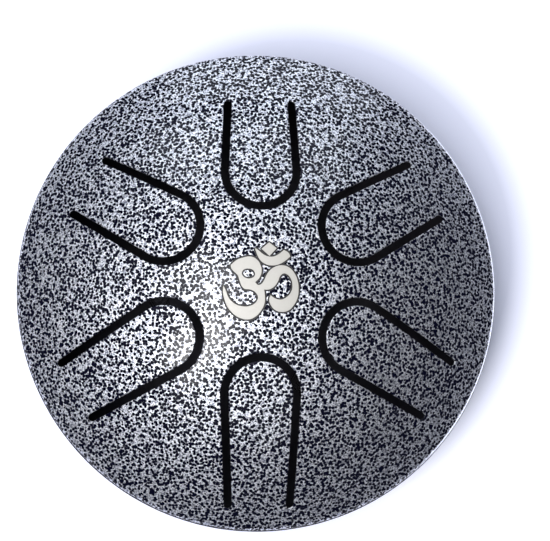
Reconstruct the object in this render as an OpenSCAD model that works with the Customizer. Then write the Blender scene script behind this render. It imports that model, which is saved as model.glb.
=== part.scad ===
// Small steel tongue drum: a shallow playing dome with six tongues cut in it, welded at the rim
// to a deeper bowl that has a sound port and stands on three screwed rubber feet.
// Millimetres, +Z up. The origin is on the axis, at the face the feet stand on.
// The longest tongue, the lowest note, points to the front (-Y).

/* [Shells] */
// Outside diameter of the rim band, without the weld bead
drum_d = 151.2; // [130:0.2:180]
// Rise of the playing dome above the rim band
dome_h = 25; // [18:0.5:32]
// Depth of the bowl below the rim band
bowl_depth = 32; // [26:0.5:40]
// Radius of the bowl's flat bottom
floor_r = 43; // [38:0.5:48]
// Outside radius of the knuckle between the bowl's side and its flat bottom
knuckle_r = 12; // [6:0.5:16]
// Outside radius where each shell turns over into the rim band
turn_r = 3; // [2:0.25:5]
// Height of the upright band that each shell has at the seam
band_h = 1.5; // [1:0.1:4]
// Sheet thickness of the top shell
top_t = 1.2; // [0.8:0.1:1.8]
// Sheet thickness of the bowl
bowl_t = 1.2; // [0.8:0.1:1.8]
// Diameter of the sound port in the bowl's bottom
port_d = 30; // [16:1:42]

/* [Rim weld] */
// Height of the weld bead round the seam
weld_h = 1.8; // [1:0.1:2.6]
// How far the bead stands proud of the rim band
weld_proud = 0.4; // [0.2:0.05:0.8]

/* [Tongues] */
// Width of the cut round each tongue
slot_w = 2.4; // [1.6:0.1:3]
// Distance between the middles of a tongue's two cuts, at its round tip
tongue_w = 22; // [18:0.5:23]
// Distance from the drum's axis to the middle of the cut at each tip
tip_r = 23; // [22:0.5:26]
// Lean of the two cuts towards each other on their way to the root, in degrees
lean = 2.6; // [0:0.1:5]
// Distance from the rim band in to the root of tongue 1, the lowest note
margin_1 = 8.4; // [7.5:0.1:20]
// Distance from the rim band in to the root of tongue 2
margin_2 = 10.9; // [7.5:0.1:20]
// Distance from the rim band in to the root of tongue 3
margin_3 = 12; // [7.5:0.1:20]
// Distance from the rim band in to the root of tongue 4
margin_4 = 14.6; // [7.5:0.1:24]
// Distance from the rim band in to the root of tongue 5
margin_5 = 16; // [7.5:0.1:24]
// Distance from the rim band in to the root of tongue 6, the highest note
margin_6 = 18.6; // [7.5:0.1:24]
// Gap that parts each tongue from the shell along its bending line
root_gap = 0.06; // [0.04:0.01:0.1]

/* [Feet] */
// Flat left free between a foot and the start of the bowl's knuckle
foot_inset = 4; // [1:0.5:8]
// Height of a rubber foot
foot_h = 7; // [6:0.25:12]
// Diameter of a foot where it meets the bowl
foot_d = 14; // [12:0.5:15]
// Diameter of a foot where it meets the table
foot_tip_d = 11.6; // [10.5:0.1:11.9]
// Rounding of the foot's edge at the table
foot_edge_r = 1; // [0.6:0.1:1.4]
// Diameter of the recess for the screw's head
recess_d = 7.6; // [7.4:0.1:8.4]
// Rubber between the recess and the bowl
web_h = 3.2; // [2:0.1:3.3]

/* [Fasteners] */
// Diameter of the screw's shank
screw_d = 3; // [2.5:0.5:3]
// Diameter of the screw's pan head
head_d = 5.6; // [5:0.1:6]
// Height of the screw's pan head
head_h = 2; // [1.6:0.1:2.4]
// Width of the slots in the head's cross recess
cross_w = 0.8; // [0.5:0.1:1]
// Span of the head's cross recess
cross_l = 3.2; // [2.4:0.1:3.6]
// Depth of the head's cross recess
cross_h = 1; // [0.6:0.1:1.2]
// Outside diameter of the washers
washer_d = 7; // [6.4:0.1:7.2]
// Thickness of the washers
washer_t = 0.5; // [0.4:0.05:0.8]
// Width of the nut across its flats
nut_w = 5.5; // [5.5:0.1:6]
// Height of the nut
nut_h = 2.4; // [1.8:0.1:3]
// Length of shank that shows past the nut
shank_end = 1.2; // [0.5:0.1:3]
// Difference in diameter between the shank and the holes it passes
hole_play = 0.2; // [0.1:0.05:0.4]
// Difference in diameter between the shank and the nut's bore
thread_play = 0.1; // [0.05:0.01:0.2]

/* [Hidden] */
$fn = 180;
margins = [margin_1, margin_2, margin_3, margin_4, margin_5, margin_6];
tongue_numbers = [1 : len(margins)];
foot_numbers = [1 : 3];

rim_r = drum_d / 2;
turn_x = rim_r - turn_r;               // centres of both turn-overs
crease = 0.02;                         // by which a round end stands out past the side it joins
overrun = 15;                          // by which a cut or a trimmed form runs on
// Levels, from the table up
bottom_z = foot_h;                     // underside of the bowl's flat bottom
bowl_top_z = bottom_z + bowl_depth;    // where the bowl's side ends and its band starts
seam_z = bowl_top_z + band_h;
dome_foot_z = seam_z + band_h;         // where the top shell's band ends and its turn starts
apex_z = dome_foot_z + dome_h;

// Playing dome: part of a sphere that the rim's turn rounds off
dome_turn_r = turn_r - crease;
dome_r = (pow(dome_h, 2) + pow(turn_x, 2) - pow(dome_turn_r, 2)) / (2 * (dome_h - dome_turn_r));
dome_z = apex_z - dome_r;
dome_turn = acos(turn_x / (dome_r - dome_turn_r));

// Bowl: part of a sphere, rounded off by the rim's turn above and by the knuckle below.
// Its centre is bowl_z = side_p + side_q * bowl_r, from the two round forms that it touches.
bowl_turn_r = turn_r - crease;
bowl_knuckle_r = knuckle_r - crease;
knuckle_z = bottom_z + knuckle_r;
turn_rise = bowl_top_z - knuckle_z;
side_q = (bowl_turn_r - bowl_knuckle_r) / turn_rise;
side_p = (bowl_top_z + knuckle_z) / 2 + (pow(turn_x, 2) - pow(floor_r, 2)
    + pow(bowl_knuckle_r, 2) - pow(bowl_turn_r, 2)) / (2 * turn_rise);
side_b = bowl_turn_r + side_q * (side_p - bowl_top_z);
side_c = pow(bowl_turn_r, 2) - pow(turn_x, 2) - pow(side_p - bowl_top_z, 2);
bowl_r = (side_b + sqrt(pow(side_b, 2) - (1 - pow(side_q, 2)) * side_c)) / (1 - pow(side_q, 2));
bowl_z = side_p + side_q * bowl_r;
bowl_turn = acos(turn_x / (bowl_r - bowl_turn_r));
knuckle_turn = atan2(bowl_z - knuckle_z, floor_r);

// Tongues
tip_x = tip_r + tongue_w / 2;          // centre of the round tip
roots = [for (m = margins) rim_r - m];
tongue_pitch = 360 / len(roots);

// Stack of parts at each foot
recess_top_z = foot_h - web_h;
head_top_z = recess_top_z - washer_t;
bowl_inside_z = bottom_z + bowl_t;
nut_z = bowl_inside_z + washer_t;
shank_top_z = nut_z + nut_h + shank_end;
foot_circle_r = floor_r - foot_inset - foot_d / 2;

coat = [0.42, 0.43, 0.46];
rubber = [0.06, 0.06, 0.065];
steel = [0.74, 0.75, 0.77];

// Tongues go up in pitch from the front, left and right in turn
function tongue_side(i) = i % 2 == 0 ? -1 : 1;
function tongue_angle(i) = -90 + tongue_side(i) * floor(i / 2) * tongue_pitch;
// Feet stand under every second gap between the tongues
function foot_angle(i) = tongue_pitch * (2 * i - 1);

// Half the width at distance x from the axis of a tongue or opening with a tip of radius r
function half_width(r, x) = r - (x - tip_x) * tan(lean);

// Point at distance d from point c, at angle a
function away(c, d, a) = c + d * [cos(a), sin(a)];

// Section of the space inside the top shell's outer face, or of the space at depth t below it
module dome_space(t) {
    turn = [turn_x, dome_foot_z];
    intersection() {
        translate([0, dome_z]) circle(r = dome_r - t);
        union() {
            translate(turn) circle(r = turn_r - t);
            polygon([
                [0, seam_z - overrun],
                [rim_r - t, seam_z - overrun],
                [rim_r - t, dome_foot_z],
                turn,
                away(turn, turn_r + overrun, dome_turn),
                [turn_x, apex_z + overrun],
                [0, apex_z + overrun],
            ]);
        }
        translate([0, seam_z]) square(rim_r + overrun);
    }
}

// Section of the space inside the bowl's outer face, or of the space at depth t inside it
module bowl_space(t) {
    turn = [turn_x, bowl_top_z];
    knuckle = [floor_r, knuckle_z];
    intersection() {
        translate([0, bowl_z]) circle(r = bowl_r - t);
        union() {
            translate(turn) circle(r = turn_r - t);
            translate(knuckle) circle(r = knuckle_r - t);
            polygon([
                [0, seam_z + overrun],
                [0, bottom_z + t],
                [floor_r, bottom_z + t],
                knuckle,
                away(knuckle, knuckle_r + overrun, -knuckle_turn),
                away(turn, turn_r + overrun, -bowl_turn),
                turn,
                [rim_r - t, bowl_top_z],
                [rim_r - t, seam_z + overrun],
            ]);
        }
        square([rim_r + overrun, seam_z]);
    }
}

// Plan of a tongue or opening that has a tip of radius r and runs out to distance x
module blade_plan(r, x) {
    start_y = half_width(r - crease, tip_x);
    end_y = half_width(r - crease, x);
    translate([tip_x, 0]) circle(r = r);
    polygon([[tip_x, -start_y], [x, -end_y], [x, end_y], [tip_x, start_y]]);
}

// Opening in the shell for one tongue: the tongue and the cut round it, with round ends
module opening_plan(root_x) {
    blade_plan(tongue_w / 2 + slot_w / 2, root_x);
    for (side = [-1, 1]) translate([root_x, side * half_width(tongue_w / 2, root_x)]) circle(d = slot_w);
}

// The tongue itself, square at its root
module tongue_plan(root_x) {
    blade_plan(tongue_w / 2 - slot_w / 2, root_x - root_gap);
}

// The whole playing dome, before any cut
module dome_sheet() {
    rotate_extrude() difference() {
        dome_space(0);
        dome_space(top_t);
    }
}

module top_shell() {
    color(coat) difference() {
        dome_sheet();
        for (i = tongue_numbers) rotate(tongue_angle(i)) translate([0, 0, dome_foot_z])
            linear_extrude(dome_h + overrun) opening_plan(roots[i - 1]);
    }
}

module tongue(i) {
    color(coat) intersection() {
        dome_sheet();
        rotate(tongue_angle(i)) translate([0, 0, dome_foot_z])
            linear_extrude(dome_h + overrun) tongue_plan(roots[i - 1]);
    }
}

module bottom_shell() {
    color(coat) difference() {
        rotate_extrude() difference() {
            bowl_space(0);
            bowl_space(bowl_t);
        }
        translate([0, 0, bottom_z - overrun]) cylinder(d = port_d, h = 2 * overrun);
        for (i = foot_numbers) at_foot(i)
            translate([0, 0, bottom_z - overrun]) cylinder(d = screw_d + hole_play, h = 2 * overrun);
    }
}

// Low rounded bead over the seam
module rim_weld() {
    bead_r = (pow(weld_h / 2, 2) + pow(weld_proud, 2)) / (2 * weld_proud);
    color(coat) rotate_extrude() translate([rim_r, seam_z]) intersection() {
        translate([weld_proud - bead_r, 0]) circle(r = bead_r);
        translate([0, -weld_h / 2]) square([weld_proud, weld_h]);
    }
}

module at_foot(i) {
    rotate(foot_angle(i)) translate([foot_circle_r, 0, 0]) children();
}

// Tapered rubber bumper, hollowed from below for the screw's head
module rubber_foot(i) {
    edge_x = foot_tip_d / 2 - foot_edge_r;
    color(rubber) at_foot(i) difference() {
        rotate_extrude() {
            translate([edge_x, foot_edge_r]) circle(r = foot_edge_r);
            polygon([
                [0, 0],
                [edge_x, 0],
                [edge_x, foot_edge_r],
                [foot_tip_d / 2, foot_edge_r],
                [foot_d / 2, foot_h],
                [0, foot_h],
            ]);
        }
        translate([0, 0, -overrun]) cylinder(d = recess_d, h = overrun + recess_top_z);
        translate([0, 0, -overrun]) cylinder(d = screw_d + hole_play, h = 2 * overrun);
    }
}

// Washer with its underside at height z
module washer(z) {
    translate([0, 0, z]) difference() {
        cylinder(d = washer_d, h = washer_t);
        translate([0, 0, -overrun]) cylinder(d = screw_d + hole_play, h = 2 * overrun);
    }
}

module foot_washer(i) {
    color(steel) at_foot(i) washer(head_top_z);
}

module nut_washer(i) {
    color(steel) at_foot(i) washer(bowl_inside_z);
}

// Pan-head screw, driven from below
module foot_screw(i) {
    color(steel) at_foot(i) difference() {
        union() {
            translate([0, 0, head_top_z]) cylinder(d = screw_d, h = shank_top_z - head_top_z);
            pan_head();
        }
        for (turn = [0, 90]) rotate(turn) translate([-cross_l / 2, -cross_w / 2, head_top_z - head_h])
            cube([cross_l, cross_w, cross_h]);
    }
}

// Low domed head, flat where it bears on the washer
module pan_head() {
    crown_r = pow(head_d / 2, 2) / head_h;
    intersection() {
        translate([0, 0, head_top_z - head_h]) cylinder(d = head_d, h = head_h);
        translate([0, 0, head_top_z - head_h + crown_r]) sphere(r = crown_r);
    }
}

// Hex nut, inside the bowl
module foot_nut(i) {
    color(steel) at_foot(i) translate([0, 0, nut_z]) difference() {
        cylinder(d = nut_w / cos(30), h = nut_h, $fn = 6);
        translate([0, 0, -overrun]) cylinder(d = screw_d + thread_play, h = 2 * overrun);
    }
}

top_shell();
bottom_shell();
rim_weld();
for (i = tongue_numbers) tongue(i);
for (i = foot_numbers) rubber_foot(i);
for (i = foot_numbers) foot_washer(i);
for (i = foot_numbers) foot_screw(i);
for (i = foot_numbers) nut_washer(i);
for (i = foot_numbers) foot_nut(i);
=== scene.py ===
import math

import bpy
import numpy as np
from mathutils import Matrix, Vector
from mathutils.geometry import delaunay_2d_cdt, interpolate_bezier


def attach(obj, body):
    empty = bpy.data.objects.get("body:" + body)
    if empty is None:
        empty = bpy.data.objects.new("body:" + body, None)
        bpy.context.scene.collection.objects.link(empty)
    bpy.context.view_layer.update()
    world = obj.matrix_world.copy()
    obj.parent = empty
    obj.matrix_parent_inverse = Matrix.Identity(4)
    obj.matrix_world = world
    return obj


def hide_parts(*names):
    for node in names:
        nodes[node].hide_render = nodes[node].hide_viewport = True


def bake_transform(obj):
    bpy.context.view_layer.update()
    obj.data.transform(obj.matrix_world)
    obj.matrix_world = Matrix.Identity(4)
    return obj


mm = 0.001  # lengths below are in millimetres, and a mesh is scaled as it is made

print("frame: loading the packed drum")
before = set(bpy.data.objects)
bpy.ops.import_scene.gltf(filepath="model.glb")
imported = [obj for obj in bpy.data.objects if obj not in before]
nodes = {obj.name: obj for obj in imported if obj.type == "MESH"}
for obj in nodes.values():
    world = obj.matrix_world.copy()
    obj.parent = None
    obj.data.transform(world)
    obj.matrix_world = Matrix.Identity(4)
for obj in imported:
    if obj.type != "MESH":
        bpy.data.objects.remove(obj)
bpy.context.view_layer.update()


print("finishes: speckled coat, rubber and metals")


def newGroup(name, inputs, outputs):
    group = bpy.data.node_groups.new(name, "ShaderNodeTree")
    for way, sockets in (("INPUT", inputs), ("OUTPUT", outputs)):
        for label, kind in sockets:
            group.interface.new_socket(label, in_out=way, socket_type=kind)
    return group, group.nodes.new("NodeGroupInput"), group.nodes.new("NodeGroupOutput")


def mathNode(tree, operation, first, second=None):
    node = tree.nodes.new("ShaderNodeMath")
    node.operation = operation
    for socket, value in zip(node.inputs, (first, second)):
        if isinstance(value, (int, float)):
            socket.default_value = value
        elif value is not None:
            tree.links.new(value, socket)
    return node.outputs[0]


def rampNode(tree, value, low, high, smooth=True, toLow=0.0, toHigh=1.0):
    node = tree.nodes.new("ShaderNodeMapRange")
    node.interpolation_type = "SMOOTHSTEP" if smooth else "LINEAR"
    tree.links.new(value, node.inputs["Value"])
    for label, bound in (("From Min", low), ("From Max", high), ("To Min", toLow), ("To Max", toHigh)):
        if isinstance(bound, (int, float)):
            node.inputs[label].default_value = bound
        else:
            tree.links.new(bound, node.inputs[label])
    return node.outputs["Result"]


# Two values mixed by a fixed share of the second
def blendNode(tree, first, second, share):
    parts = [mathNode(tree, "MULTIPLY", value, part) for value, part in ((first, 1 - share), (second, share))]
    return mathNode(tree, "ADD", *parts)


def noiseNode(tree, vector, scale, detail, roughness=0.5):
    node = tree.nodes.new("ShaderNodeTexNoise")
    node.inputs["Detail"].default_value = detail
    node.inputs["Roughness"].default_value = roughness
    tree.links.new(vector, node.inputs["Vector"])
    if isinstance(scale, (int, float)):
        node.inputs["Scale"].default_value = scale
    else:
        tree.links.new(scale, node.inputs["Scale"])
    return node.outputs["Fac"]


def colourMix(tree, share, first, second):
    node = tree.nodes.new("ShaderNodeMix")
    node.data_type = "RGBA"
    for socket, value in ((node.inputs["Factor"], share), (node.inputs["A"], first), (node.inputs["B"], second)):
        if isinstance(value, (int, float)):
            socket.default_value = value
        elif isinstance(value, tuple):
            socket.default_value = (*value, 1.0)
        else:
            tree.links.new(value, socket)
    return node.outputs["Result"]


# pitch is the distance between flecks, and perPitch how many lumps of the drifting noise fit in it
speckle = {
    "pitch": 1.6, "perPitch": 2.5, "turn": (0.4, 0.7, 0.2),
    "cells": 0.62, "cellShare": 0.74, "random": 0.92,
    "darkBelow": 0.53, "blur": 0.055, "power": 1.3,
    "grain": 1.3, "dullAt": 0.36, "brightAt": 0.66,
    "crown": 0.08, "crownShare": 0.25,
    "relief": (0.4, 0.6), "grainRelief": 0.4,
}


# Lumps of noise and cells: the low ones are the black flecks, and the others the silver skin with its tone and relief
def makeSpeckleGroup():
    group, given, out = newGroup(
        "coatSpeckle",
        [("Vector", "NodeSocketVector"), ("Pitch", "NodeSocketFloat"),
         ("Dark Below", "NodeSocketFloat"), ("Blur", "NodeSocketFloat")],
        [("Silver", "NodeSocketFloat"), ("Tone", "NodeSocketFloat"), ("Relief", "NodeSocketFloat")])
    place, pitch, middle, blur = (given.outputs[label] for label in ("Vector", "Pitch", "Dark Below", "Blur"))
    scale = mathNode(group, "DIVIDE", speckle["perPitch"], pitch)
    turned = group.nodes.new("ShaderNodeMapping")
    turned.inputs["Rotation"].default_value = speckle["turn"]
    group.links.new(place, turned.inputs["Vector"])
    drift = noiseNode(group, turned.outputs["Vector"], scale, 0.0)
    cells = group.nodes.new("ShaderNodeTexVoronoi")
    cells.inputs["Randomness"].default_value = speckle["random"]
    group.links.new(place, cells.inputs["Vector"])
    group.links.new(mathNode(group, "MULTIPLY", scale, speckle["cells"]), cells.inputs["Scale"])
    lumps = blendNode(group, drift, cells.outputs["Distance"], speckle["cellShare"])
    low, high = mathNode(group, "SUBTRACT", middle, blur), mathNode(group, "ADD", middle, blur)
    silver = mathNode(group, "POWER", rampNode(group, lumps, low, high, False), speckle["power"])
    grain = noiseNode(group, place, mathNode(group, "MULTIPLY", scale, speckle["grain"]), 0.0)
    crown = rampNode(group, lumps, high, mathNode(group, "ADD", high, speckle["crown"]))
    plain = rampNode(group, grain, speckle["brightAt"], speckle["dullAt"], False)
    tone = blendNode(group, plain, crown, speckle["crownShare"])
    relief = mathNode(group, "ADD", rampNode(group, lumps, *speckle["relief"]),
                      mathNode(group, "MULTIPLY", grain, speckle["grainRelief"]))
    for label, value in (("Silver", silver), ("Tone", tone), ("Relief", relief)):
        group.links.new(value, out.inputs[label])
    return group


speckleGroup = makeSpeckleGroup()


def newMaterial(name, values):
    material = bpy.data.materials.new(name)
    material.use_nodes = True
    tree = material.node_tree
    shader = tree.nodes["Principled BSDF"]
    for label, value in values.items():
        shader.inputs[label].default_value = value
    place = tree.nodes.new("ShaderNodeTexCoord").outputs["Object"]
    return material, tree, shader, place


def addBump(tree, shader, height, distance):
    bump = tree.nodes.new("ShaderNodeBump")
    bump.inputs["Distance"].default_value = distance * mm
    tree.links.new(height, bump.inputs["Height"])
    tree.links.new(bump.outputs["Normal"], shader.inputs["Normal"])


coat = {
    "bright": (0.91, 0.93, 1.0), "dull": (0.14, 0.15, 0.2), "black": (0.0015, 0.0018, 0.009),
    "rough": (0.42, 0.5), "relief": 0.085,
    "lacquer": 0.27, "lacquerRough": 0.14, "lacquerIor": 1.5,
    # painted shade: the bead keeps only a small share of its silver, so it reads dark
    "paintedShadeBeadSilver": 0.08, "beadLacquer": 0.02,
    # the highlight keys set the painted highlight on the right-hand edge: radius, x span, upward facing and gloss
    "highlightRadius": (74.8, 75.05), "highlightX": (42, 60), "highlightUp": (0.15, 0.25), "highlightShine": 0.3,
}


# Painted highlight: how far the coat turns to bright, smoother metal, only on the upper side of the right-hand edge,
# where it stands in for a line of light
def paintedRimHighlight(tree, place):
    facing, where = (tree.nodes.new("ShaderNodeSeparateXYZ") for _ in range(2))
    tree.links.new(place.node.outputs["Normal"], facing.inputs["Vector"])
    tree.links.new(place, where.inputs["Vector"])
    squares = [mathNode(tree, "POWER", where.outputs[axis], 2.0) for axis in "XY"]
    radius = mathNode(tree, "SQRT", mathNode(tree, "ADD", *squares))
    onEdge = rampNode(tree, radius, *(r * mm for r in coat["highlightRadius"]))
    onRight = rampNode(tree, where.outputs["X"], *(x * mm for x in coat["highlightX"]))
    onTop = rampNode(tree, facing.outputs["Z"], *coat["highlightUp"])
    return mathNode(tree, "MULTIPLY", mathNode(tree, "MULTIPLY", onEdge, onRight), onTop)


def makeCoat(name, bead=False):
    material, tree, shader, place = newMaterial(name, {
        "Coat Weight": coat["beadLacquer" if bead else "lacquer"], "Coat Roughness": coat["lacquerRough"],
        "Coat IOR": coat["lacquerIor"], "Specular IOR Level": 0.0})
    flecks = tree.nodes.new("ShaderNodeGroup")
    flecks.node_tree = speckleGroup
    tree.links.new(place, flecks.inputs["Vector"])
    flecks.inputs["Pitch"].default_value = speckle["pitch"] * mm
    flecks.inputs["Dark Below"].default_value = speckle["darkBelow"]
    flecks.inputs["Blur"].default_value = speckle["blur"]
    silver, tone = flecks.outputs["Silver"], flecks.outputs["Tone"]
    # painted shade: the bead's silver is cut down, so the bead shows as a dark line round the rim
    if bead:
        silver = mathNode(tree, "MULTIPLY", silver, coat["paintedShadeBeadSilver"])
    else:
        # painted highlight: the right-hand edge turns bright silver with the light tone and less roughness
        rimHighlight = paintedRimHighlight(tree, place)
        silver = mathNode(tree, "MAXIMUM", silver, rimHighlight)
        tone = mathNode(tree, "MULTIPLY", tone, mathNode(tree, "SUBTRACT", 1.0, rimHighlight))
    rough = rampNode(tree, silver, 0.0, 1.0, False, *coat["rough"])
    if not bead:
        rough = mathNode(tree, "SUBTRACT", rough, mathNode(tree, "MULTIPLY", rimHighlight, coat["highlightShine"]))
    skin = colourMix(tree, tone, coat["bright"], coat["dull"])
    tree.links.new(colourMix(tree, silver, coat["black"], skin), shader.inputs["Base Color"])
    tree.links.new(silver, shader.inputs["Metallic"])
    tree.links.new(rough, shader.inputs["Roughness"])
    addBump(tree, shader, flecks.outputs["Relief"], coat["relief"])
    return material


# A noise (scale, detail, roughness) varies each finish's colour and gloss, and its grain makes the relief
finishes = {
    "dark_inside": {
        "values": {"Roughness": 0.7, "Specular IOR Level": 0.3},
        "stain": (90.0, 4.0, 0.6), "colours": ((0.012, 0.011, 0.018), (0.03, 0.028, 0.04)),
        "grain": (1500.0, 2.0, 0.5), "relief": 0.02,
    },
    "sign_satin_metal": {
        "values": {"Metallic": 0.4},
        "stain": (900.0, 3.0, 0.6), "colours": ((0.4, 0.387, 0.365), (0.46, 0.447, 0.425)), "rough": (0.48, 0.6),
        "grain": (900.0, 3.0, 0.6), "relief": 0.004,
    },
    "sign_dark_rim": {
        "values": {"Specular IOR Level": 0.3},
        "stain": (1300.0, 2.0, 0.5), "colours": ((0.012, 0.011, 0.012), (0.035, 0.033, 0.034)), "rough": (0.5, 0.7),
    },
    "matt_rubber": {
        "values": {"Specular IOR Level": 0.4},
        "stain": (260.0, 4.0, 0.6), "colours": ((0.013, 0.013, 0.014), (0.028, 0.028, 0.03)), "rough": (0.62, 0.8),
        "colourSpan": (0.45, 0.75), "grain": (2600.0, 2.0, 0.6), "relief": 0.02,
    },
    # near-black: painted shade for the drum's dark inside, seen through the cuts
    "shade_dark_zinc": {
        "values": {"Metallic": 1.0},
        "stain": (420.0, 3.0, 0.55), "colours": ((0.01, 0.01, 0.012), (0.02, 0.02, 0.023)), "rough": (0.28, 0.45),
        "grain": (3200.0, 2.0, 0.5), "relief": 0.008,
    },
}
stainSpan = (0.3, 0.7)  # the part of the noise's range that spans the two roughnesses


def makeFinish(name):
    finish = finishes[name]
    material, tree, shader, place = newMaterial(name, finish["values"])
    stain = noiseNode(tree, place, *finish["stain"])
    share = rampNode(tree, stain, *finish["colourSpan"]) if "colourSpan" in finish else stain
    tree.links.new(colourMix(tree, share, *finish["colours"]), shader.inputs["Base Color"])
    if "rough" in finish:
        tree.links.new(rampNode(tree, stain, *stainSpan, False, *finish["rough"]), shader.inputs["Roughness"])
    if "grain" in finish:
        addBump(tree, shader, noiseNode(tree, place, *finish["grain"]), finish["relief"])
    return material


coatMaterial = makeCoat("silver_vein_coat")
paintedShadeBeadMaterial = makeCoat("painted_shade_bead_coat", True)
insideMaterial = makeFinish("dark_inside")
signMaterial = makeFinish("sign_satin_metal")
signRimMaterial = makeFinish("sign_dark_rim")
rubberMaterial = makeFinish("matt_rubber")
shadeDarkZincMaterial = makeFinish("shade_dark_zinc")


# Sheet pieces, each one closed mesh with exact normals

class Sheet:
    def __init__(self):
        self.points, self.normals, self.count = [], [], 0

    def add(self, points, normals):
        self.points.append(np.asarray(points, float))
        self.normals.append(np.asarray(normals, float))
        self.count += len(points)
        return list(range(self.count - len(points), self.count))

    def addRings(self, profile, steps):
        turns = [2 * math.pi * k / steps for k in range(steps)]
        return [self.add([(r * math.cos(a), r * math.sin(a), z) for a in turns],
                         [(nr * math.cos(a), nr * math.sin(a), nz) for a in turns]) for r, z, nr, nz in profile]


def joinRows(rows, picked=None):
    faces = []
    for upper, lower in zip(rows[:-1], rows[1:]):
        count = len(upper)
        faces += [(upper[k], upper[(k + 1) % count], lower[(k + 1) % count], lower[k])
                  for k in (range(count) if picked is None else picked)]
    return faces


def spacedAngles(first, last, steps):
    return [first + (last - first) * k / steps for k in range(steps + 1)]


# Rows of (r, z, normal r, normal z) along an arc of a profile
def arcPoints(middle, radius, first, last, steps, side=1):
    ways = [(math.cos(a), math.sin(a)) for a in spacedAngles(first, last, steps)]
    return [(middle[0] + radius * c, middle[1] + radius * s, side * c, side * s) for c, s in ways]


# Rows of points that round a cut's wall into both faces of the sheet
def roundedEdge(sheet, surface, wall, ways, edge, steps):
    toCut = np.column_stack([-ways, np.zeros(len(ways))])
    rows = []
    for upper, k in [(True, k) for k in range(1, steps + 1)] + [(False, k) for k in range(steps, 0, -1)]:
        a = math.pi / 2 * k / steps
        points, normals = surface(wall + edge * (1 - math.sin(a)) * ways, upper)
        points[:, 2] += edge * (1 - math.cos(a)) * (-1 if upper else 1)
        normals = math.cos(a) * normals + math.sin(a) * toCut
        rows.append(sheet.add(points, normals / np.linalg.norm(normals, axis=1)[:, None]))
    return rows


def outward(points, normals, faces):
    turned = []
    for face in faces:
        p = points[list(face)]
        across = np.cross(p[1] - p[0], p[2] - p[0]) if len(face) == 3 else np.cross(p[2] - p[0], p[3] - p[1])
        turned.append(tuple(face) if across @ normals[list(face)].sum(0) > 0 else tuple(reversed(face)))
    return turned


# Outer faces take the first material, and inner ones and the flat, hidden ends the second
def makeSheetObject(name, sheet, outer, inner, materials, ends=()):
    points, normals = np.vstack(sheet.points), np.vstack(sheet.normals)
    faces = outward(points, normals, list(outer) + list(inner)) + [tuple(ring) for ring in ends]
    kept = sorted({v for face in faces for v in face})
    place = {v: k for k, v in enumerate(kept)}
    mesh = bpy.data.meshes.new(name)
    mesh.from_pydata((points[kept] * mm).tolist(), [], [[place[v] for v in face] for face in faces])
    mesh.shade_smooth()
    corners = []
    for polygon in mesh.polygons:
        hidden = polygon.index >= len(outer) + len(inner)
        polygon.material_index = 0 if polygon.index < len(outer) else 1
        corners += [tuple(polygon.normal) if hidden else tuple(normals[kept[v]]) for v in polygon.vertices]
    mesh.normals_split_custom_set(corners)
    for material in materials:
        mesh.materials.append(material)
    item = bpy.data.objects.new(name, mesh)
    bpy.context.scene.collection.objects.link(item)
    return item


def spacedPoints(first, last, step):
    count = max(1, round(math.dist(first, last) / step))
    return [np.array(first) + (np.array(last) - first) * k / count for k in range(count + 1)]


def circlePoints(radius, steps, middle=(0, 0)):
    ways = np.array([(math.cos(2 * math.pi * k / steps), math.sin(2 * math.pi * k / steps)) for k in range(steps)])
    return np.array(middle) + radius * ways, ways


fill = {"rimGap": 0.7, "pointGap": 0.75, "chunk": 400, "tolerance": 1e-7}  # the gaps are shares of the grid step


# Triangles between closed loops and across open chords, over evenly spaced points
def fillPlan(loops, chords, gridStep, limit, keepOff):
    points, edges = [], []
    for loop in loops:
        start = len(points)
        points += [tuple(p) for p in loop]
        edges += [(start + k, start + (k + 1) % len(loop)) for k in range(len(loop))]
    chordRows = []
    for first, last, between in chords:
        row = [first] + list(range(len(points), len(points) + len(between))) + [last]
        points += [tuple(p) for p in between]
        edges += list(zip(row[:-1], row[1:]))
        chordRows.append(row)
    fixed = np.array(points)
    rowStep = gridStep * math.sqrt(0.75)
    count = int(limit / rowStep) + 2
    grid = np.array([((i + 0.5 * (j % 2)) * gridStep, j * rowStep)
                     for j in range(-count, count + 1) for i in range(-count - 1, count + 2)])
    grid = grid[np.hypot(grid[:, 0], grid[:, 1]) < limit - fill["rimGap"] * gridStep]
    near = np.full(len(grid), np.inf)
    for k in range(0, len(fixed), fill["chunk"]):
        some = fixed[None, k:k + fill["chunk"]]
        near = np.minimum(near, np.sqrt(((grid[:, None] - some) ** 2).sum(2)).min(1))
    grid = grid[(near > fill["pointGap"] * gridStep) & ~keepOff(grid)]
    points += [tuple(p) for p in grid]
    found = delaunay_2d_cdt([Vector(p) for p in points], edges, [], 0, fill["tolerance"])
    order = {new: min(olds) for new, olds in enumerate(found[3])}
    return np.array(points), [tuple(order[v] for v in face) for face in found[2]], chordRows


dome = {
    "rise": 24.94,        # a hair under the CAD dome, so that the sign on it stays in the CAD box
    "sheet": 1.2,
    "turnX": 72.6, "turnZ": 42.0, "turnRadius": 3.0, "outerSteps": 8, "innerSteps": 6,
    "seamZ": 40.5,
    "gridStep": 1.9, "rimSteps": 300,
}
dome["radius"] = ((dome["rise"] ** 2 + dome["turnX"] ** 2 - dome["turnRadius"] ** 2)
                  / (2 * (dome["rise"] - dome["turnRadius"])))
dome["middleZ"] = dome["turnZ"] + dome["rise"] - dome["radius"]
dome["turnAngle"] = math.acos(dome["turnX"] / (dome["radius"] - dome["turnRadius"]))

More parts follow.
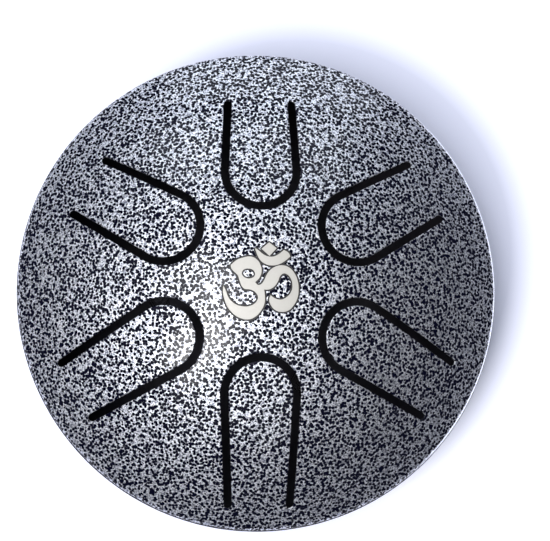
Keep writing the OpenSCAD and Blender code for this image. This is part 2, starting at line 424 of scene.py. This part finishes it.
cuts = {
    "width": 2.4, "edge": 0.3, "edgeSteps": 4,
    "tipX": 34.0, "tipRadius": 11.0, "lean": math.radians(2.6),
    "roots": [67.2, 64.7, 63.6, 61.0, 59.6, 57.0],
    "angles": [-90, -150, -30, 150, 30, 90],
    "step": 1.5, "tipSteps": 34, "endSteps": 12,
    "gridGap": 0.95, "rootGap": 0.02,
}
tongueCount = len(cuts["roots"])


def domeSurface(plan, upper=True):
    reach = dome["radius"] - (0 if upper else dome["sheet"])
    points = np.column_stack([plan, dome["middleZ"] + np.sqrt(reach ** 2 - (plan ** 2).sum(1))])
    normals = (points - (0, 0, dome["middleZ"])) / reach
    return points, normals if upper else -normals


# Middle line of a cut in its tongue's own plan: where the straight leg ends, and where it meets the round tip
def cutLine(number):
    lean, radius, tip = cuts["lean"], cuts["tipRadius"], cuts["tipX"]
    touch = np.array([tip + radius * math.sin(lean), radius * math.cos(lean)])
    end = touch + np.array([1, -math.tan(lean)]) * (cuts["roots"][number] - touch[0])
    return end, touch, math.radians(cuts["angles"][number])


# The closed line round a cut: points of its middle line, and the ways from them into the sheet
def cutLoop(number):
    end, touch, angle = cutLine(number)
    lean, radius = cuts["lean"], cuts["tipRadius"]
    right = math.pi / 2

    def waysAlong(first, last, steps):
        return [np.array([math.cos(a), math.sin(a)]) for a in spacedAngles(first, last, steps)]

    side = np.array([math.sin(lean), math.cos(lean)])
    flip = np.array([1, -1])
    leg = spacedPoints(end, touch, cuts["step"])[:-1]
    tip = np.array([cuts["tipX"], 0])
    bend = waysAlong(right - lean, 3 * right + lean, cuts["tipSteps"])
    farSide = [(p, side) for p in leg] + [(tip + radius * w, w) for w in bend]
    farSide += [(p * flip, side * flip) for p in reversed(leg)]
    firstEnd = [(end * flip, w) for w in waysAlong(lean - right, lean + right, cuts["endSteps"])[1:-1]]
    lastEnd = [(end, w) for w in waysAlong(-lean - right, -lean + right, cuts["endSteps"])[1:-1]]
    nearSide = [(p, -w) for p, w in reversed(farSide)]
    points, ways = (np.array(part) for part in zip(*(farSide + firstEnd + nearSide + lastEnd)))
    turn = np.array([[math.cos(angle), math.sin(angle)], [-math.sin(angle), math.cos(angle)]])
    innerFrom = len(farSide) + len(firstEnd)
    return points @ turn, ways @ turn, innerFrom, innerFrom + len(nearSide) - 1


# Distance in plan from points to the middle line of a cut, and whether they lie on its tongue
def distanceToCut(points, number):
    end, touch, angle = cutLine(number)
    lean, radius, tip = cuts["lean"], cuts["tipRadius"], cuts["tipX"]
    local = points @ np.array([[math.cos(angle), -math.sin(angle)], [math.sin(angle), math.cos(angle)]])
    x, y = local[:, 0], np.abs(local[:, 1])
    way = np.array([math.cos(lean), -math.sin(lean)])
    along = np.clip((x - touch[0]) * way[0] + (y - touch[1]) * way[1], 0, (end[0] - touch[0]) / way[0])
    toLeg = np.hypot(x - touch[0] - along * way[0], y - touch[1] - along * way[1])
    onArc = (x - tip) * way[0] + y * way[1] <= 0
    toArc = np.abs(np.hypot(x - tip, y) - radius)
    across = (x - touch[0]) * math.sin(lean) + (y - touch[1]) * math.cos(lean)
    inside = np.where(onArc, np.hypot(x - tip, y) < radius, across < 0) & (x < end[0] - cuts["rootGap"])
    return np.where(onArc, np.minimum(toArc, toLeg), toLeg), inside


def makeDomeAndTongues():
    print("dome: plan of the sheet and its six cuts")
    half, edge = cuts["width"] / 2, cuts["edge"]
    steps, turnAngle = dome["rimSteps"], dome["turnAngle"]
    rimX = dome["turnX"] + dome["turnRadius"] * math.cos(turnAngle)
    loops, chords, info = [circlePoints(rimX, steps)[0]], [], []
    start = steps
    for number in range(tongueCount):
        middles, ways, innerFrom, innerTo = cutLoop(number)
        loops.append(middles + (half + edge) * ways)
        between = spacedPoints(loops[-1][innerFrom], loops[-1][innerTo], dome["gridStep"])[1:-1]
        chords.append((start + innerFrom, start + innerTo, between))
        info.append((start, middles, ways, innerFrom, innerTo))
        start += len(middles)

    def keepOff(points):
        return np.any([distanceToCut(points, n)[0] < half + edge + cuts["gridGap"] for n in range(tongueCount)], axis=0)

    plan, triangles, chordRows = fillPlan(loops, chords, dome["gridStep"], rimX, keepOff)
    corners = np.array(triangles)
    middlesOfFaces = plan[corners].mean(1)
    owner = np.zeros(len(triangles), int)
    for number, (start, middles, _, _, _) in enumerate(info):
        distance, inside = distanceToCut(middlesOfFaces, number)
        owner[inside] = number + 1
        inCut = ((corners >= start) & (corners < start + len(middles))).all(1) & (distance < half + edge)
        owner[inCut | (distance < half)] = -1

    sheet = Sheet()
    top = sheet.add(*domeSurface(plan))
    lowPlan = plan.copy()
    lowPlan[:steps] *= (dome["turnX"] + (dome["turnRadius"] - dome["sheet"]) * math.cos(turnAngle)) / rimX
    low = sheet.add(*domeSurface(lowPlan, False))
    pieces = range(tongueCount + 1)
    outer = {who: [f for f, w in zip(triangles, owner) if w == who] for who in pieces}
    inner = {who: [tuple(low[v] for v in f) for f in outer[who]] for who in pieces}
    rings = []
    for number, (start, middles, ways, innerFrom, innerTo) in enumerate(info):
        count = len(middles)
        wall = roundedEdge(sheet, domeSurface, middles + half * ways, ways, edge, cuts["edgeSteps"])
        rows = [top[start:start + count]] + wall + [low[start:start + count]]
        outer[number + 1] += joinRows(rows, range(innerFrom, innerTo))
        outer[0] += joinRows(rows, [k for k in range(count) if not innerFrom <= k < innerTo])
        chord = chordRows[number]
        rings.append(chord + [row[innerTo] for row in wall] + [low[v] for v in reversed(chord)]
                     + [row[innerFrom] for row in reversed(wall)])

    turn = (dome["turnX"], dome["turnZ"])
    outerX = dome["turnX"] + dome["turnRadius"]
    innerX = outerX - dome["sheet"]
    down = arcPoints(turn, dome["turnRadius"], turnAngle, 0, dome["outerSteps"])[1:] + [(outerX, dome["seamZ"], 1, 0)]
    up = [(innerX, dome["seamZ"], -1, 0)]
    up += arcPoints(turn, dome["turnRadius"] - dome["sheet"], 0, turnAngle, dome["innerSteps"], -1)[:-1]
    downRows = [top[:steps]] + sheet.addRings(down, steps)
    upRows = sheet.addRings(up, steps) + [low[:steps]]
    outer[0] += joinRows(downRows)
    inner[0] += joinRows([downRows[-1]] + upRows)

    points = np.vstack(sheet.points)
    made = []
    for who in pieces:
        ends = []
        for number in range(tongueCount):
            if who in (0, number + 1):
                angle = cutLine(number)[2]
                wanted = np.array([math.cos(angle), math.sin(angle), 0]) * (1 if who else -1)
                p = points[rings[number]]
                area = np.cross(p, np.roll(p, -1, axis=0)).sum(0)
                ends.append(rings[number] if area @ wanted > 0 else rings[number][::-1])
        name = f"tongue_blade_{who}" if who else "dome_shell"
        made.append(makeSheetObject(name, sheet, outer[who], inner[who],
                                    (coatMaterial, insideMaterial), ends))
    return made


bowl = {
    "seamX": 75.6, "seamZ": 40.5, "floorX": 43.0, "floorZ": 7.0, "sheet": 1.2,
    # arcs from the seam down to the floor: middle, radius, angles from and to, steps
    "arcs": [((72.6, 39.0), 3.0, 0, -28.99, 7), ((0, 79.2205), 85.977, -28.99, -54.47, 22),
             ((43.0, 19.0), 12.0, -54.47, -90, 9)],
    "port": 15.0, "portEdge": 0.45, "portSteps": 96, "edgeSteps": 4,
    "screwHole": 1.6, "holeSteps": 24, "holeGap": 1.0, "slack": 0.01,
    "gridStep": 2.6, "steps": 240,
}
feet = {"circle": 32.0, "angles": (60, 180, 300)}
footNumbers = range(len(feet["angles"]))


def footMiddle(number):
    a = math.radians(feet["angles"][number])
    return np.array([math.cos(a), math.sin(a)]) * feet["circle"]


def floorSurface(plan, upper):
    z = bowl["floorZ"] + (bowl["sheet"] if upper else 0)
    return np.column_stack([plan, np.full(len(plan), z)]), np.tile((0.0, 0.0, 1.0 if upper else -1.0), (len(plan), 1))


def bowlProfile(depth, side):
    rows = [(bowl["seamX"] - depth, bowl["seamZ"], side, 0)]
    for middle, radius, first, last, steps in bowl["arcs"]:
        arc = arcPoints(middle, radius - depth, math.radians(first), math.radians(last), steps, side)
        rows += arc if len(rows) == 1 else arc[1:]
    return rows[:-1]


def makeBowl():
    print("bowl: side, flat bottom, sound port and screw holes")
    steps, port, edge = bowl["steps"], bowl["port"], bowl["portEdge"]
    wall, ways = circlePoints(port, bowl["portSteps"])
    holes = [circlePoints(bowl["screwHole"], bowl["holeSteps"], footMiddle(k)) for k in footNumbers]
    loops = [circlePoints(bowl["floorX"], steps)[0], wall + edge * ways] + [points for points, _ in holes]

    def inHoles(points, gap):
        found = np.hypot(*points.T) < port + edge + gap
        for k in footNumbers:
            found |= np.hypot(*(points - footMiddle(k)).T) < bowl["screwHole"] + gap
        return found

    plan, triangles, _ = fillPlan(loops, [], bowl["gridStep"], bowl["floorX"],
                                  lambda points: inHoles(points, bowl["holeGap"]))
    gone = inHoles(plan[np.array(triangles)].mean(1), -bowl["slack"])
    sheet = Sheet()
    low, top = sheet.add(*floorSurface(plan, False)), sheet.add(*floorSurface(plan, True))
    outer = [f for f, out in zip(triangles, gone) if not out]
    inner = [tuple(top[v] for v in f) for f in outer]
    portIds = range(steps, steps + len(wall))
    rounded = roundedEdge(sheet, floorSurface, wall, ways, edge, bowl["edgeSteps"])
    outer += joinRows([[top[v] for v in portIds]] + rounded + [[low[v] for v in portIds]])
    start = steps + len(wall)
    for points, ways in holes:
        ids = range(start, start + len(points))
        toHole = np.column_stack([-ways, np.zeros(len(ways))])
        upper, lower = (sheet.add(floorSurface(points, side)[0], toHole) for side in (True, False))
        inner += joinRows([[top[v] for v in ids], upper]) + joinRows([[low[v] for v in ids], lower])
        inner += joinRows([upper, lower])
        start += len(points)
    outerRows = sheet.addRings(bowlProfile(0, 1), steps) + [low[:steps]]
    innerRows = sheet.addRings(bowlProfile(bowl["sheet"], -1), steps) + [top[:steps]]
    outer += joinRows(outerRows)
    inner += joinRows(innerRows) + joinRows([outerRows[0], innerRows[0]])
    return makeSheetObject("bowl_shell", sheet, outer, inner, (coatMaterial, insideMaterial))


# A turned piece: closed profile of (r, z) points, spun round an upright axis
def makeTurned(name, profile, steps, middle, material, sharpAngle=40, ripple=None):
    turns = [2 * math.pi * k / steps for k in range(steps)]
    points = []
    for k, (r, z) in enumerate(profile):
        for a in turns:
            reach = r + (ripple(a, k) if ripple else 0)
            points.append(((middle[0] + reach * math.cos(a)) * mm, (middle[1] + reach * math.sin(a)) * mm, z * mm))
    rows = [list(range(k * steps, (k + 1) * steps)) for k in range(len(profile))]
    mesh = bpy.data.meshes.new(name)
    mesh.from_pydata(points, [], joinRows(rows + [rows[0]]))
    mesh.shade_smooth()
    mesh.set_sharp_from_angle(angle=math.radians(sharpAngle))
    mesh.materials.append(material)
    item = bpy.data.objects.new(name, mesh)
    bpy.context.scene.collection.objects.link(item)
    return item


weld = {
    "middleX": 74.7875, "middleZ": 40.5, "radius": 1.2125, "spread": math.radians(47.9), "backX": 75.4,
    "arcSteps": 10, "steps": 720, "sharpAngle": 60,
    "wave": 0.03, "swells": [(9, 0.6, 1.0, 0.0), (31, 2.1, 0.8, 0.0), (74, 0.0, 0.6, 0.35)],
}


def makeWeld():
    arc = [(weld["middleX"] + weld["radius"] * math.cos(a), weld["middleZ"] + weld["radius"] * math.sin(a))
           for a in spacedAngles(-weld["spread"], weld["spread"], weld["arcSteps"])]
    profile = arc + [(weld["backX"], arc[-1][1]), (weld["backX"], arc[0][1])]
    most = sum(height for _, _, height, _ in weld["swells"])

    # the two edges that touch the shells stay true
    def ripple(a, row):
        if not 0 < row < weld["arcSteps"]:
            return 0
        swell = sum(height * math.sin(count * a + start + twist * row)
                    for count, start, height, twist in weld["swells"])
        return -weld["wave"] * (0.5 + 0.5 * swell / most)

    return makeTurned("rim_bead", profile, weld["steps"], (0, 0), paintedShadeBeadMaterial, weld["sharpAngle"], ripple)


foot = {
    "tip": 5.8, "top": 7.0, "height": 7.0, "tipEdge": 1.0, "topEdge": 0.3,
    "recess": 3.8, "recessTop": 3.8, "recessEdge": 0.3, "hole": 1.6,
    "tipSteps": 7, "edgeSteps": 4, "steps": 64,
}


def makeFoot(number):
    right = math.pi / 2
    tilt = math.atan2(foot["top"] - foot["tip"], foot["height"] - foot["tipEdge"])
    toe, edge, lip = foot["tipEdge"], foot["topEdge"], foot["recessEdge"]
    side = [(foot["tip"] - toe + toe * math.cos(a), toe + toe * math.sin(a))
            for a in spacedAngles(-right, 0, foot["tipSteps"])]
    crownX = foot["top"] - edge - edge * math.tan(tilt)
    crown = [(crownX + edge * math.cos(a), foot["height"] - edge + edge * math.sin(a))
             for a in spacedAngles(0, right, foot["edgeSteps"])]
    mouth = [(foot["recess"] + lip - lip * math.cos(a), lip - lip * math.sin(a))
             for a in spacedAngles(0, right, foot["edgeSteps"])]
    bore = [(foot["hole"], foot["height"]), (foot["hole"], foot["recessTop"]), (foot["recess"], foot["recessTop"])]
    return makeTurned(f"foot_bumper_{number + 1}", side + crown + bore + mouth, foot["steps"],
                      footMiddle(number), rubberMaterial)


# The sign: outlines in millimetres from the middle of the dome; a third number marks a corner
sign = {
    "face": 0.055, "rim": 0.02, "root": -0.04, "rimWidth": 0.5, "rimUnder": 0.05, "edge": 0.03, "edgeSteps": 2,
    "pieces": 5, "gridStep": 0.9, "reach": 12.5, "probe": 0.02,
    "outlines": [
        [(-9.3, 4.6, 1), (-7.4, 6.2), (-5.5, 6.9), (-3.2, 7.2), (-1.4, 6.3), (-0.3, 4.6), (0, 2.7), (-0.6, 0.8),
         (-1.9, -0.6, 1), (-1.1, -1.4), (-0.2, -1.2), (0.7, -0.1), (1.5, 1.6), (2.4, 2.9), (4, 4.1), (6.3, 4.6),
         (8.4, 3.9), (9.9, 2.3), (10.9, 0), (11.2, -2.7), (10.8, -5.4), (9.7, -7.5), (8.2, -9), (6.1, -9.5),
         (4.2, -9), (2.8, -7.5), (2.3, -5.8), (2.7, -4.5, 1), (4, -5.4), (5.7, -5.8), (7.6, -5), (9, -3.2),
         (9.3, -1.3), (8.8, 0.6), (7.6, 1.9), (6.7, 2.1), (5.7, 1.4), (4.9, -0.4), (3.8, -1.9), (2.2, -2.8),
         (0.8, -2.8, 1), (1, -4.6), (0.9, -6.9), (-0.3, -9.4), (-2, -11.1), (-4.1, -11.8), (-6.6, -11.3),
         (-8.8, -9.8), (-10.3, -7.9), (-11.1, -5.9), (-11.6, -3.6), (-11.5, -1.5, 1), (-10.7, -3.1),
         (-10.1, -4.8), (-9.1, -6.2), (-7.6, -7.3), (-5.9, -7.8), (-3.9, -7.8), (-2.2, -7.1), (-1.3, -6),
         (-1.1, -5), (-1.8, -3.7), (-3.2, -2.9), (-5, -2.7, 1), (-5.9, -1.9), (-6.6, -0.2), (-7.2, 1.5),
         (-8.2, 2.5), (-9.1, 3.6)],
        [(-5.9, 2.3), (-5.6, 1.3), (-4.5, 0.6), (-3.2, 0.6), (-2.2, 1.2), (-2, 2.1), (-2.6, 3.1), (-3.9, 3.5),
         (-5.3, 3.2)],
        [(-2, 9.8, 1), (-1.1, 9.3), (-0.1, 8.4), (1.3, 7.5), (2.6, 7.2), (3.8, 7.3), (5.3, 8.1), (6.8, 9.3, 1),
         (8.2, 8.4), (8.7, 7.3, 1), (7.2, 6), (5.3, 4.9), (3.2, 4.5), (1.5, 4.8), (-0.1, 5.8), (-1.2, 7.5)],
        [(2.3, 11.6, 1), (4.6, 9.8, 1), (2.4, 7.4, 1), (0, 9.6, 1)],
    ],
}


# Each outline as a closed line of points, smooth except at its corners
def signLoops():
    data = bpy.data.curves.new("sign_lines", "CURVE")
    data.dimensions = "2D"
    for outline in sign["outlines"]:
        spline = data.splines.new("BEZIER")
        spline.bezier_points.add(len(outline) - 1)
        spline.use_cyclic_u = True
        for point, place in zip(spline.bezier_points, outline):
            point.co = (place[0], place[1], 0)
            point.handle_left_type = point.handle_right_type = "VECTOR" if len(place) == 3 else "AUTO"
    drawn = bpy.data.objects.new("sign_lines", data)
    bpy.context.scene.collection.objects.link(drawn)
    bpy.context.view_layer.update()
    loops = []
    for spline in data.splines:
        knots = list(spline.bezier_points)
        loop = []
        for here, after in zip(knots, knots[1:] + knots[:1]):
            loop += interpolate_bezier(here.co, here.handle_right, after.handle_left, after.co, sign["pieces"] + 1)[:-1]
        loops.append(np.array([p[:2] for p in loop]))
    bpy.data.objects.remove(drawn)
    return loops


def insideLoops(points, loops):
    inside = np.zeros(len(points), bool)
    for loop in loops:
        for (x0, y0), (x1, y1) in zip(loop, np.roll(loop, -1, axis=0)):
            crossed = (y0 > points[:, 1]) != (y1 > points[:, 1])
            if y0 != y1:
                inside ^= crossed & (points[:, 0] < x0 + (points[:, 1] - y0) * (x1 - x0) / (y1 - y0))
    return inside


# Ways from the points of a closed line to its left, square to the line
def leftWays(loop):
    along = np.roll(loop, -1, axis=0) - np.roll(loop, 1, axis=0)
    left = np.column_stack([-along[:, 1], along[:, 0]])
    return left / np.linalg.norm(left, axis=1)[:, None]


def signSurface(level):
    def surface(plan, upper):
        points, normals = domeSurface(plan)
        points[:, 2] += level if upper else sign["root"]
        return points, normals if upper else -normals
    return surface


def makeSignFace():
    loops = signLoops()
    inward = []
    for loop in loops:
        left = leftWays(loop)
        inward.append(left if insideLoops(loop[:1] + sign["probe"] * left[:1], loops)[0] else -left)
    edge = sign["edge"]
    tops = [loop + edge * way for loop, way in zip(loops, inward)]
    plan, triangles, _ = fillPlan(tops, [], sign["gridStep"], sign["reach"], lambda points: ~insideLoops(points, loops))
    kept = insideLoops(plan[np.array(triangles)].mean(1), tops)
    sheet, surface = Sheet(), signSurface(sign["face"])
    top, low = sheet.add(*surface(plan, True)), sheet.add(*surface(plan, False))
    outer = [face for face, keep in zip(triangles, kept) if keep]
    outer += [tuple(low[v] for v in face) for face in outer]
    rims, rimSurface, rimFaces = Sheet(), signSurface(sign["rim"]), []
    start = 0
    for loop, way in zip(loops, inward):
        ids = range(start, start + len(loop))
        wall = roundedEdge(sheet, surface, loop, way, edge, sign["edgeSteps"])
        outer += joinRows([[top[v] for v in ids]] + wall + [[low[v] for v in ids]])
        start += len(loop)
        near, far = loop + sign["rimUnder"] * way, loop - sign["rimWidth"] * way
        rows = [rims.add(*rimSurface(line, upper))
                for line, upper in ((near, True), (far, True), (far, False), (near, False))]
        rimFaces += joinRows(rows + rows[:1])
    return (makeSheetObject("sign_face", sheet, outer, [], (signMaterial,)),
            makeSheetObject("sign_rim", rims, rimFaces, [], (signRimMaterial,)))


def rideAs(item, *replaced):
    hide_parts(*replaced)
    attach(item, "drum")


domeShell, *blades = makeDomeAndTongues()
rideAs(domeShell, "top_shell")
for number, blade in enumerate(blades):
    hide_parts(f"tongue_{number + 1}")
    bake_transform(blade)
rideAs(makeBowl(), "bottom_shell")
print("rim: weld bead")
rideAs(makeWeld(), "rim_weld")
print("feet: rubber bumpers")
for number in footNumbers:
    rideAs(makeFoot(number), f"rubber_foot_{number + 1}")
print("sign: plate on the dome")
for item in makeSignFace():
    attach(item, "drum")

# The screws, washers and nuts keep their CAD shapes, in near-black zinc: painted shade, so that they stay dark through
# the cuts
for item in nodes.values():
    if not item.hide_render:
        item.data.materials.clear()
        item.data.materials.append(shadeDarkZincMaterial)

print("room: camera, lamps, floor and world")
camera = {
    "eye": (-21.5, -51.0, 523.0), "apex": (0, 0, 67.0),
    "focal": 1528.0, "apexPixel": (261.6, 280.2), "size": (550, 541),  # in pixels
    "sensor": 36, "clip": (0.01, 20),  # the clip is in metres
}


def axesFrom(direction):
    back = -np.array(direction)
    right = np.cross((0, 1, 0), back)
    right /= np.linalg.norm(right)
    return np.array([right, np.cross(back, right), back])


def placeCamera():
    eye, apex = np.array(camera["eye"]), np.array(camera["apex"])
    seen = np.array([(camera["apexPixel"][0] - camera["size"][0] / 2) / camera["focal"],
                     -(camera["apexPixel"][1] - camera["size"][1] / 2) / camera["focal"], -1.0])
    seen /= np.linalg.norm(seen)
    toApex = (apex - eye) / np.linalg.norm(apex - eye)
    turn = axesFrom(seen).T @ axesFrom(toApex)
    data = bpy.data.cameras.new("camera")
    data.sensor_width = camera["sensor"]
    data.lens = camera["focal"] * camera["sensor"] / camera["size"][0]
    data.clip_start, data.clip_end = camera["clip"]
    item = bpy.data.objects.new("camera", data)
    bpy.context.scene.collection.objects.link(item)
    item.matrix_world = Matrix.Translation(Vector(eye * mm)) @ Matrix(turn.T.tolist()).to_4x4()
    bpy.context.scene.camera = item


lampReach, lampAim = 1300, (0, 0, 60)
northLight = (0.87, 0.93, 1.0)
lights = [
    {"name": "key_window", "way": (-0.30, -0.26, 0.92), "size": (350, 450), "power": 5.4},
    {"name": "key_core", "way": (-0.26, -0.22, 0.94), "size": (210, 380), "power": 3.6},
    {"name": "key_north", "way": (-0.13, 0.02, 0.99), "size": (430, 430), "power": 4.6},
    {"name": "key_west", "way": (-0.28, 0.12, 0.95), "size": (350, 500), "power": 3.2},
    {"name": "overhead_panel", "way": (0.0, 0.1, 0.99), "size": (1000, 900), "power": 0.8},
    {"name": "south_panel", "way": (-0.1, -0.4, 0.91), "size": (900, 800), "power": 2.4},
    {"name": "southwest_panel", "way": (-0.4, -0.35, 0.85), "size": (900, 900), "power": 0.6},
    {"name": "west_panel", "way": (-0.5, 0.05, 0.86), "size": (700, 900), "power": 1.5},
    {"name": "high_north_panel", "way": (0.0, 0.5, 0.86), "size": (1200, 500), "power": 1.6, "colour": northLight},
    {"name": "north_panel", "way": (0.0, 0.77, 0.64), "size": (1300, 500), "power": 5.0, "colour": northLight},
    {"name": "northwest_panel", "way": (-0.4, 0.68, 0.62), "size": (700, 500), "power": 1.0, "colour": northLight},
    {"name": "north_window", "way": (0.1, 0.95, 0.25), "size": (1200, 400), "power": 4.2, "colour": northLight},
]


def placeLights():
    aim = Vector(lampAim) * mm
    for lamp in lights:
        data = bpy.data.lights.new(lamp["name"], "AREA")
        data.shape = "RECTANGLE"
        data.size, data.size_y = lamp["size"][0] * mm, lamp["size"][1] * mm
        data.energy = lamp["power"]
        data.color = lamp.get("colour", (1.0, 1.0, 1.0))
        item = bpy.data.objects.new(lamp["name"], data)
        bpy.context.scene.collection.objects.link(item)
        way = Vector(lamp["way"]).normalized()
        item.location = aim + way * lampReach * mm
        item.rotation_mode = "QUATERNION"
        item.rotation_quaternion = way.to_track_quat("Z", "Y")


room = {
    "world": (0.9, 0.93, 1.0), "worldStrength": 0.015,
    "floor": (0.58, 0.6, 0.73), "floorHalf": 3000, "glow": (0.93, 0.94, 1.0),
    "shade": (17, 19, 0), "shadeSpan": (73, 90), "floorLift": 0.56, "farSpan": (450, 1300), "farLift": 0.5,
}


# The floor glows for camera and glossy rays alone: not in the drum's soft shadow, and more again far away
def makeFloor():
    half = room["floorHalf"] * mm
    mesh = bpy.data.meshes.new("floor")
    mesh.from_pydata([(-half, -half, 0), (half, -half, 0), (half, half, 0), (-half, half, 0)], [], [(0, 1, 2, 3)])
    floor = bpy.data.objects.new("floor", mesh)
    bpy.context.scene.collection.objects.link(floor)
    material, tree, shader, place = newMaterial("white_floor", {
        "Base Color": (*room["floor"], 1), "Emission Color": (*room["glow"], 1),
        "Roughness": 0.9, "Specular IOR Level": 0.1})
    rays = tree.nodes.new("ShaderNodeLightPath")
    seen = mathNode(tree, "MAXIMUM", rays.outputs["Is Camera Ray"], rays.outputs["Is Glossy Ray"])
    away = tree.nodes.new("ShaderNodeVectorMath")
    away.operation = "DISTANCE"
    tree.links.new(place, away.inputs[0])
    away.inputs[1].default_value = [v * mm for v in room["shade"]]
    lift, far = (rampNode(tree, away.outputs["Value"], *(v * mm for v in room[span]), False, 0.0, room[most])
                 for span, most in (("shadeSpan", "floorLift"), ("farSpan", "farLift")))
    glow = mathNode(tree, "MULTIPLY", seen, mathNode(tree, "ADD", lift, far))
    tree.links.new(glow, shader.inputs["Emission Strength"])
    mesh.materials.append(material)


# White for camera rays, and almost dark for all others
def makeWorld():
    world = bpy.data.worlds.new("studio")
    world.use_nodes = True
    tree = world.node_tree
    background = tree.nodes["Background"]
    background.inputs["Color"].default_value = (*room["world"], 1)
    rays = tree.nodes.new("ShaderNodeLightPath")
    strength = rampNode(tree, rays.outputs["Is Camera Ray"], 0.0, 1.0, False, room["worldStrength"], 1.0)
    tree.links.new(strength, background.inputs["Strength"])
    bpy.context.scene.world = world


placeCamera()
placeLights()
makeFloor()
makeWorld()
bpy.context.scene.view_settings.view_transform = "Standard"
